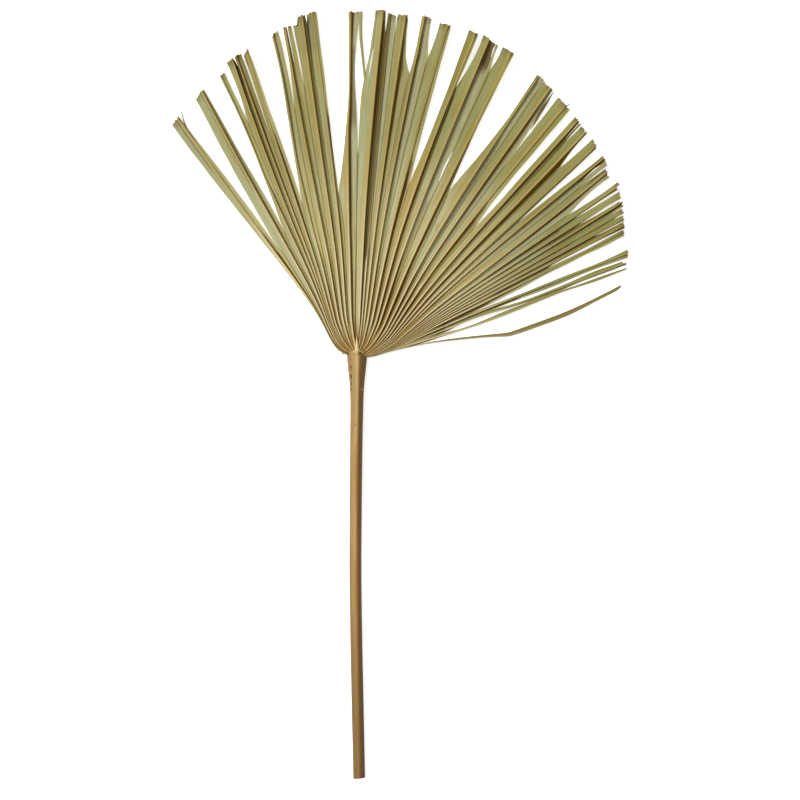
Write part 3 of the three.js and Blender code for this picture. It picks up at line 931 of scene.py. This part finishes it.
def tongue_ring(along):
    out = portion(along, TONGUE_STATIONS[0], TONGUE_LENGTH)
    half = lerp(TONGUE_HALF_WIDTH, 0.5, out ** 0.8)
    top = lerp(HEAD_CLEARANCE + HEAD_HEIGHT + TONGUE_RISE, TONGUE_TIP_HEIGHT, out)
    underside = lerp(TONGUE_UNDERSIDE, ROOT_TOP - 0.4, out)
    ring = []
    for step in range(TONGUE_STEPS + 1):
        turn = math.pi * step / TONGUE_STEPS
        place = Vector((half * math.cos(turn), along, lerp(underside, top, math.sin(turn) ** 0.8)))
        ring.append((place, 0.4 * math.cos(turn)))
    return ring


def tube_faces(rings):
    """The faces round a row of rings, then its first and its last end."""
    faces = []
    for first, second in zip(rings, rings[1:]):
        for number in range(len(first)):
            after = (number + 1) % len(first)
            faces.append((first[number], second[number], second[after], first[after]))
    return faces + [tuple(rings[0]), tuple(reversed(rings[-1]))]


def stalk_piece(materials):
    """The stalk with its head and, on top of that, the tongue."""
    shape = ring_shape()
    stations = [-STALK_LENGTH + 4 * step for step in range(132)]
    stations += [-20 + 1.5 * step for step in range(1, 14)]
    stations += [HEAD_RADIUS * math.sin(math.radians(angle)) for angle in range(6, 90, 6)]
    points = []
    values = {"fold": [], "strand": []}

    def add_ring(ring, along):
        for place, across in ring:
            points.append(POLE + place * MM)
            note(values, (across, STALK_LENGTH + along, 0.0), (place.x, along, place.z))
        return range(len(points) - len(ring), len(points))

    faces = tube_faces([add_ring(stalk_ring(along, shape), along) for along in stations])
    cut_face = len(faces) - 2
    faces += tube_faces([add_ring(tongue_ring(along), along) for along in TONGUE_STATIONS])
    piece = mesh_piece("stalk", points, faces, materials, values, "petiole", 50)
    piece.data.polygons[cut_face].material_index = 1
    return piece


# Materials

class Surface:
    """A material whose nodes are made one after another."""

    def __init__(self, name, colour):
        self.colour = colour
        self.material = bpy.data.materials.new(name)
        self.material.use_nodes = True
        self.tree = self.material.node_tree
        self.shader = self.tree.nodes["Principled BSDF"]

    def put(self, socket, value):
        if isinstance(value, bpy.types.NodeSocket):
            self.tree.links.new(value, socket)
        else:
            socket.default_value = value

    def node(self, kind, inputs, **settings):
        """A new node with what goes into its sockets."""
        node = self.tree.nodes.new("ShaderNode" + kind)
        for name, value in settings.items():
            setattr(node, name, value)
        for socket, value in inputs.items():
            self.put(node.inputs[socket], value)
        return node.outputs

    def attribute(self, name):
        return self.node("Attribute", {}, attribute_name=name)["Vector"]

    def parts(self, vector):
        return self.node("SeparateXYZ", {0: vector})

    def math(self, operation, first, second=0):
        return self.node("Math", {0: first, 1: second}, operation=operation)[0]

    def plus(self, first, second):
        return self.math("ADD", first, second)

    def times(self, first, second):
        return self.math("MULTIPLY", first, second)

    def ease(self, value, low, high, start=0, end=1):
        """A smooth change from start to end as a value goes from low to high."""
        inputs = {"Value": value, "From Min": low, "From Max": high, "To Min": start, "To Max": end}
        return self.node("MapRange", inputs, interpolation_type="SMOOTHSTEP")[0]

    def stretched(self, vector, scale):
        return self.node("VectorMath", {0: vector, 1: scale}, operation="MULTIPLY")[0]

    def noise(self, vector, scale, detail=2, roughness=0.5):
        vector = self.stretched(vector, scale)
        inputs = {"Vector": vector, "Scale": 1, "Detail": detail, "Roughness": roughness}
        return self.node("TexNoise", inputs)["Fac"]

    def spot(self, vector, centre, half_size):
        """1 in the middle of a place, easing to 0 at its border."""
        offset = self.node("VectorMath", {0: vector, 1: centre}, operation="SUBTRACT")[0]
        offset = self.stretched(offset, [1 / length for length in half_size])
        distance = self.node("VectorMath", {0: offset}, operation="LENGTH")["Value"]
        return self.ease(distance, 1, 0.4)

    def mix(self, share, first, second, blend="MIX"):
        inputs = {"Factor": share, 6: first, 7: second}
        return self.node("Mix", inputs, data_type="RGBA", blend_type=blend)[2]

    def cover(self, share, tone, blend="MIX"):
        """Lays a tone over the colour so far."""
        self.colour = self.mix(share, self.colour, tone, blend)

    def dim(self, amount):
        """Multiplies the colour so far by a number."""
        self.cover(1, self.node("CombineColor", {0: amount, 1: amount, 2: amount})[0], "MULTIPLY")

    def bump(self, height, strength, distance):
        inputs = {"Height": height, "Strength": strength, "Distance": distance}
        return self.node("Bump", inputs)["Normal"]

    def finish(self, roughness, specular, **others):
        inputs = {"Base Color": self.colour, "Roughness": roughness, "Specular IOR Level": specular}
        inputs.update((name.replace("_", " "), value) for name, value in others.items())
        for socket, value in inputs.items():
            self.put(self.shader.inputs[socket], value)
        return self.material


def shade(red, green, blue):
    """A colour from its 0 to 255 values as seen on a screen."""
    def linear(value):
        value /= 255
        return value / 12.92 if value <= 0.04045 else ((value + 0.055) / 1.055) ** 2.4
    return (linear(red), linear(green), linear(blue), 1)


SAGE = shade(183, 182, 144)
OCHRE = shade(178, 159, 98)
GREY = shade(189, 185, 154)
CREAM = shade(209, 201, 162)
SHADE_BROWN = shade(100, 73, 6)
DEEP_SHADE_BROWN = shade(66, 47, 2)
TAN = shade(213, 193, 144)
OUTER_RIB = shade(174, 151, 88)
ROOT_BROWN = shade(132, 99, 42)
RIGHT_FACE_FILL = shade(214, 197, 134)
TIP_BROWN = shade(96, 76, 36)
STREAK = shade(140, 128, 74)
PALE = shade(220, 214, 194)
OUTER_TINT = (0.575, 0.595, 0.405, 1)
SHADE_TINT = (0.97, 0.95, 0.6, 1)


def blade_material():
    """Dry leaf: sage to ochre faces with long fibres, tan ribs, and painted shade in brown in the folds and
    valleys.
    """
    make = Surface("dry_leaf", SAGE)
    ease, plus, times, cover = make.ease, make.plus, make.times, make.cover
    side, rib_place, rim = make.parts(make.attribute("fold"))
    ochre, dark_end, grey = make.parts(make.attribute("tone"))
    cream, root_brown, outer = make.parts(make.attribute("zone"))
    to_tip, stain_and_shade, rib_strength = make.parts(make.attribute("mark"))
    strand = make.attribute("strand")
    _, radius, number = make.parts(strand)
    far = make.math("ABSOLUTE", side)
    on_right = ease(side, 0.08, 0.16)
    on_left = make.math("SUBTRACT", 1, on_right)

    fine = make.noise(strand, (2.6, 0.03, 1), 3, 0.6)
    broad = make.noise(strand, (0.55, 0.008, 1))
    wide = make.noise(strand, (0.2, 0.005, 1))
    patch = make.noise(strand, (0.06, 0.016, 1))

    # Faces, warmer towards the rib and in patches, with painted fill light and painted shade on the right
    # faces
    towards_rib = ease(far, 0.95, 0.1, -0.2, 0.25)
    by_patch = plus(ease(patch, 0.3, 0.7, -0.25, 0.25), ease(wide, 0.3, 0.7, -0.2, 0.2))
    cover(plus(times(ochre, 0.8), plus(towards_rib, by_patch)), OCHRE)
    # Painted fill light: the right faces, which lie in shade, made paler and warmer
    cover(times(on_right, 0.3), RIGHT_FACE_FILL)
    grey = times(grey, on_right)
    cover(grey, GREY)
    cover(cream, CREAM)
    outer = times(outer, ease(grey, 0, 1, 1, 0.55))
    cover(outer, OUTER_TINT, "MULTIPLY")
    cover(ease(broad, 0.45, 0.72, 0, 0.4), STREAK)
    make.dim(ease(fine, 0.35, 0.7, 0.86, 1.1))
    cover(times(on_right, ease(radius, 270, 120, 0.15, 0.9)), SHADE_TINT, "MULTIPLY")
    cover(root_brown, ROOT_BROWN)

    # Paler beside the rib on the left; painted shade in brown beside it on the right and in the valleys
    rib_colour = make.mix(ease(radius, 120, 280), TAN, OUTER_RIB)
    by_rib = times(ease(far, 0.38, 0.08, 0, 0.55), rib_strength)
    cover(times(by_rib, on_left), rib_colour)
    wavering = plus(side, ease(broad, 0.2, 0.8, -0.06, 0.06))
    past_dark = make.math("SUBTRACT", wavering, dark_end)
    dark = times(on_right, ease(past_dark, -0.08, 0.06, 0.96, 0))
    # The painted shade is deeper on the segments low on the right
    shadow = make.mix(ease(number, 300, 410), SHADE_BROWN, DEEP_SHADE_BROWN)
    cover(dark, shadow)
    # Painted shade in the joined valleys, spreading wider towards the pole
    depth = plus(far, ease(radius, 170, 50, 0, 0.12))
    depth = plus(depth, ease(radius, 60, 18, 0, 0.12))
    valley = times(ease(depth, 0.86, 1.02, 0, 0.9), make.math("SUBTRACT", 1, rim))
    cover(valley, shadow)

    # Free edges, ribs, stains and painted shade marks, and brown tips
    cover(times(ease(far, 0.93, 1, 0, 0.5), rim), OUTER_RIB)
    rib = times(ease(make.math("ABSOLUTE", rib_place), 1.35, 0.7, 0, 0.95), rib_strength)
    cover(rib, rib_colour)
    # Dark marks: partly real stains, partly painted shade
    cover(ease(stain_and_shade, 0, 1, 0, 0.88), TIP_BROWN)
    cover(ease(stain_and_shade, 0, -1, 0, 0.8), PALE)
    cover(times(ease(to_tip, 14, 0, 0, 0.7), ease(broad, 0.35, 0.65)), TIP_BROWN)

    normal = make.bump(plus(times(fine, 0.7), times(broad, 0.5)), 0.55, 0.0006)
    return make.finish(ease(fine, 0.2, 0.8, 0.76, 0.56), 0.06, Normal=normal)


STALK_LIT_BAND = shade(172, 141, 89)
STALK_MIDDLE = shade(142, 116, 76)
STALK_RIDGE_HIGHLIGHT = shade(206, 173, 114)
STALK_SHADE_AND_STREAK = shade(108, 80, 46)
STALK_OLD = shade(108, 80, 36)
STALK_SCAR = shade(88, 42, 14)
TONGUE_HIGHLIGHT = shade(226, 198, 146)
STALK_SCRATCH = shade(188, 150, 96)
STALK_RUST = shade(170, 108, 50)
STALK_EDGE_SHADE = shade(58, 42, 22)
PITH = shade(186, 152, 98)
PITH_DOTS = shade(112, 80, 40)
PITH_SHADE = shade(150, 116, 66)

# How high on the stalk marks lie and how far they go through it
MARK_HEIGHT = 8
MARK_DEPTH = 12

# Scars on the stalk: place across, place along from the pole, half width and half length
SCARS = [
    (-7.6, -14.3, 1.5, 2.8), (-7.4, -18, 1.2, 1.2), (-7.4, -27, 1.2, 6), (-7.2, -36, 1, 4),
    (-7.2, -43.5, 1.2, 1.8), (-8.6, -4.8, 1.2, 1.2), (4.4, 4, 1.2, 1.8), (8.2, 1.2, 1.6, 1),
    (10.6, -2, 1.4, 1.1), (-2.2, -88.5, 1.8, 0.8),
]
SCRATCH = (6.2, -43.2, 2.6, 0.9)

# Reddish streaks along the stalk: the same four values and how strong they are
STREAKS = [(-0.8, -155, 2, 75, 0.75), (-0.4, -300, 2.8, 150, 0.5)]


def stalk_material():
    """Smooth dry stalk: a pale ridge with a painted highlight, browner sides with painted shade on the
    right, long fibres and small scars.
    """
    make = Surface("dry_stalk", STALK_MIDDLE)
    ease, plus, times, cover = make.ease, make.plus, make.times, make.cover
    across, to_end, _ = make.parts(make.attribute("fold"))
    strand = make.attribute("strand")
    along = make.parts(strand)[1]
    fine = make.noise(strand, (3.2, 0.03, 3.2), 3, 0.6)
    broad = make.noise(strand, (0.5, 0.012, 0.5))

    def mark(tone, x, y, half_width, half_length, strength=1):
        spot = make.spot(strand, (x, y, MARK_HEIGHT), (half_width, half_length, MARK_DEPTH))
        cover(times(spot, strength), tone)

    # Painted light across the stalk: a lit band left of the middle
    cover(ease(across, -0.95, -0.3), STALK_LIT_BAND)
    # Painted highlight along the ridge, strongest towards the head
    ridge = make.math("ABSOLUTE", plus(across, 0.04))
    cover(times(ease(ridge, 0.3, 0.05), ease(to_end, 380, 540, 0.25, 0.7)), STALK_RIDGE_HIGHLIGHT)
    # Painted shade on the right side
    cover(ease(across, 0.06, 0.42), STALK_SHADE_AND_STREAK)
    cover(ease(to_end, 330, 60, 0, 0.7), STALK_OLD)
    # Browner streaks along the fibres, in the shade colour
    cover(ease(broad, 0.45, 0.75, 0, 0.4), STALK_SHADE_AND_STREAK)
    # Painted shade, deeper still, on the right edge towards the cut end
    cover(times(ease(across, 0.6, 0.95), ease(to_end, 260, 60, 0, 0.7)), STALK_EDGE_SHADE)
    for streak in STREAKS:
        mark(STALK_RUST, *streak)
    make.dim(ease(fine, 0.3, 0.7, 0.84, 1.1))
    # Painted highlight in pale cream on the head ahead of the pole and on the tongue
    cover(ease(along, 3, 9, 0, 0.85), TONGUE_HIGHLIGHT)
    for scar in SCARS:
        mark(STALK_SCAR, *scar)
    mark(STALK_SCRATCH, *SCRATCH)
    normal = make.bump(plus(times(fine, 0.6), times(broad, 0.5)), 0.4, 0.0005)
    return make.finish(ease(fine, 0.2, 0.8, 0.66, 0.48), 0.12, Normal=normal)


def cut_material():
    """The cut end of the stalk: pale pith with the dark dots of its fibre bundles."""
    make = Surface("cut_stalk", PITH)
    strand = make.attribute("strand")
    bundles = make.stretched(strand, (0.9, 0.1, 0.9))
    spots = make.node("TexVoronoi", {"Vector": bundles, "Scale": 1})["Distance"]
    grain = make.noise(strand, (2, 0.1, 2), 3, 0.55)
    make.cover(make.ease(spots, 0.42, 0.2), PITH_DOTS)
    make.cover(make.ease(grain, 0.4, 0.7, 0, 0.5), PITH_SHADE)
    normal = make.bump(spots, 0.5, 0.0006)
    return make.finish(make.ease(grain, 0.2, 0.8, 0.9, 0.7), 0.2, Normal=normal)


# Stage

def floor():
    mesh = bpy.data.meshes.new("floor")
    corners = ((-1, -1), (1, -1), (1, 1), (-1, 1))
    mesh.from_pydata([(x * FLOOR_SIZE, y * FLOOR_SIZE, 0) for x, y in corners], [], [(0, 1, 2, 3)])
    surface = Surface("pale_floor", FLOOR_COLOUR)
    surface.finish(0.9, 0, Emission_Color=WHITE, Emission_Strength=FLOOR_GLOW)
    mesh.materials.append(surface.material)
    plane = add_object("floor", mesh)
    plane.location.z = -FLOOR_DROP


def lights():
    scene = bpy.context.scene
    scene.view_settings.view_transform = "Standard"
    world = bpy.data.worlds.new("studio")
    world.use_nodes = True
    sky = world.node_tree.nodes["Background"]
    sky.inputs["Color"].default_value = WHITE
    sky.inputs["Strength"].default_value = SKY_STRENGTH
    scene.world = world
    sun = bpy.data.lights.new("sun", "SUN")
    sun.energy = SUN_STRENGTH
    sun.angle = math.radians(SUN_ANGLE)
    lamp = add_object("sun", sun)
    lamp.rotation_euler = Vector(SUN_DIRECTION).to_track_quat("Z", "Y").to_euler()


def camera():
    lens = bpy.data.cameras.new("camera")
    lens.lens = LENS
    lens.sensor_width = SENSOR
    eye = add_object("camera", lens)
    distance = VIEW_WIDTH * LENS / SENSOR
    eye.location = POLE + Vector((*VIEW_AIM, distance)) * MM
    bpy.context.scene.camera = eye


camera()
lights()
floor()
leaf = blade_material()
ends = list(PIECE_STARTS[1:]) + [len(SEGMENTS)]
for number, (start, end) in enumerate(zip(PIECE_STARTS, ends), 1):
    blade_piece(f"blade_{number}", range(start, end), leaf)
roots_piece(leaf)
strips_piece(leaf)
stalk_piece([stalk_material(), cut_material()])
